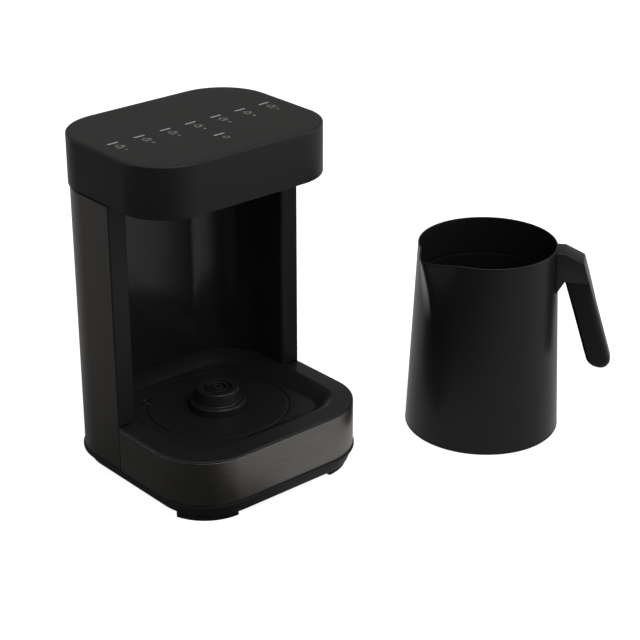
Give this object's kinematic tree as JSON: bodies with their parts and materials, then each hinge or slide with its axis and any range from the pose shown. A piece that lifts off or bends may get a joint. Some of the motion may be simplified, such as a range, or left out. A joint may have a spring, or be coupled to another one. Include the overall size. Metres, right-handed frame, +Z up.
{
  "type": "electric turkish coffee maker",
  "caption": "One-pot electric coffee maker: touch-panel head on a tower over a sunken deck with a round cordless connector, and its separate spouted pot with a side handle.",
  "frame": {"origin": "on the counter, straight below the axis of the round connector in the deck", "axes": "+Z up, -Y towards the user at the front of the machine, +X towards the pot, to the right as seen from the front"},
  "size_m": [0.3249, 0.2364, 0.2427],
  "materials": {
    "moulded_black": "fine matt moulded black",
    "panel_black": "satin black panel",
    "gloss_black": "polished black",
    "band_steel": "dark stainless steel, brushed along its length",
    "wrap_steel": "dark coated steel, brushed",
    "pot_coat": "satin black coating on stainless steel",
    "bracket_coat": "satin black coating on steel",
    "foot_rubber": "matt rubber",
    "silicone_seal": "silicone",
    "zinc_steel": "zinc plated steel",
    "stainless": "plain stainless steel",
    "heater_aluminium": "cast and machined aluminium",
    "contact_brass": "nickel-flashed brass",
    "board_laminate": "green board laminate",
    "part_white": "white nylon",
    "part_blue": "blue component plastic",
    "part_black": "component plastic",
    "winding": "taped copper winding",
    "guide_clear": "frosted clear light guide",
    "lens_dark": "dark infrared window",
    "wire_jacket": "sleeved wiring",
    "magnet_nickel": "nickel plated magnet"
  },
  "bodies": {
    "machine": {"base_pan": "moulded_black", "rubber_feet": "foot_rubber", "base_band": "band_steel", "deck_tray": "moulded_black", "connector_housing": "moulded_black", "connector_contacts": "contact_brass", "connector_retainer": "part_black", "connector_screws": "zinc_steel", "base_screws": "zinc_steel", "tower_screws": "zinc_steel", "head_screws": "zinc_steel", "cord_gland": "part_black", "terminal_block": "part_white", "power_board": "board_laminate", "relay": "part_blue", "smoothing_capacitor": "part_black", "transformer": "winding", "triac_heatsink": "heater_aluminium", "wiring_harness": "wire_jacket", "tower_cover": "wrap_steel", "tower_frame": "moulded_black", "tower_liner": "gloss_black", "head_front_shell": "moulded_black", "head_rear_shell": "moulded_black", "head_base_plate": "moulded_black", "head_bracket": "zinc_steel", "head_top_panel": "panel_black", "touch_board": "board_laminate", "control_chip": "part_black", "buzzer": "part_black", "indicator_leds": "part_white", "light_guides": "guide_clear", "touch_springs": "stainless", "foam_sensor": "part_black", "foam_sensor_lens": "lens_dark"},
    "pot": {"pot_shell": "pot_coat", "pot_base_cover": "moulded_black", "pot_socket": "moulded_black", "pot_contacts": "contact_brass", "heater_plate": "pot_coat", "floor_seal": "silicone_seal", "heating_element": "stainless", "temperature_sensor": "contact_brass", "thermal_fuse": "part_white", "stirrer_motor": "stainless", "stirrer_spindle": "stainless", "handle_grip": "moulded_black", "handle_bracket": "bracket_coat", "handle_screws": "zinc_steel", "motor_screws": "zinc_steel"},
    "drive": {"magnet_carrier": "part_black", "drive_magnets": "magnet_nickel"},
    "stirrer": {"stirrer": "part_black", "stirrer_magnet": "magnet_nickel"}
  },
  "joints": [
    {"name": "pot_lift", "type": "slide", "parent": "machine", "child": "pot", "axis": [0, 0, 1], "range_m": [0, 0.15]},
    {"name": "drive_spin", "type": "hinge", "parent": "pot", "child": "drive", "pos_m": [0.18, -0.083, 0.03], "axis": [0, 0, 1], "continuous": true},
    {"name": "stirrer_spin", "type": "hinge", "parent": "pot", "child": "stirrer", "pos_m": [0.18, -0.083, 0.042], "axis": [0, 0, 1], "continuous": true}
  ],
  "couplings": [
    {"joint": "stirrer_spin", "follows": "drive_spin", "ratio": 1}
  ]
}
